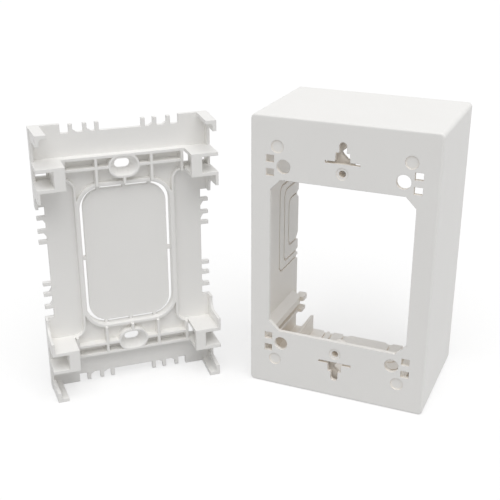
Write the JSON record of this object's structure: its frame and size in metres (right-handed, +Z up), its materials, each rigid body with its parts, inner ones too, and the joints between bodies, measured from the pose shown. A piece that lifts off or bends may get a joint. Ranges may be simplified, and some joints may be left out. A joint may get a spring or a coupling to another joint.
{
  "type": "surface mount back box",
  "caption": "Deep open-backed wall box cover with a rectangular device opening, standing beside its slim base plate with corner legs, latch brackets and a knockout panel.",
  "frame": {"origin": "on the standing surface, under the middle of the box round both pieces", "axes": "+Z up, the cover's face looks along -Y, the base plate stands at its left, turned about the vertical"},
  "size_m": [0.163, 0.1089, 0.1261],
  "materials": {
    "moulded_plastic": "fine satin, off white"
  },
  "bodies": {
    "root": {"box_cover": "moulded_plastic", "base_plate": "moulded_plastic"}
  },
  "joints": []
}
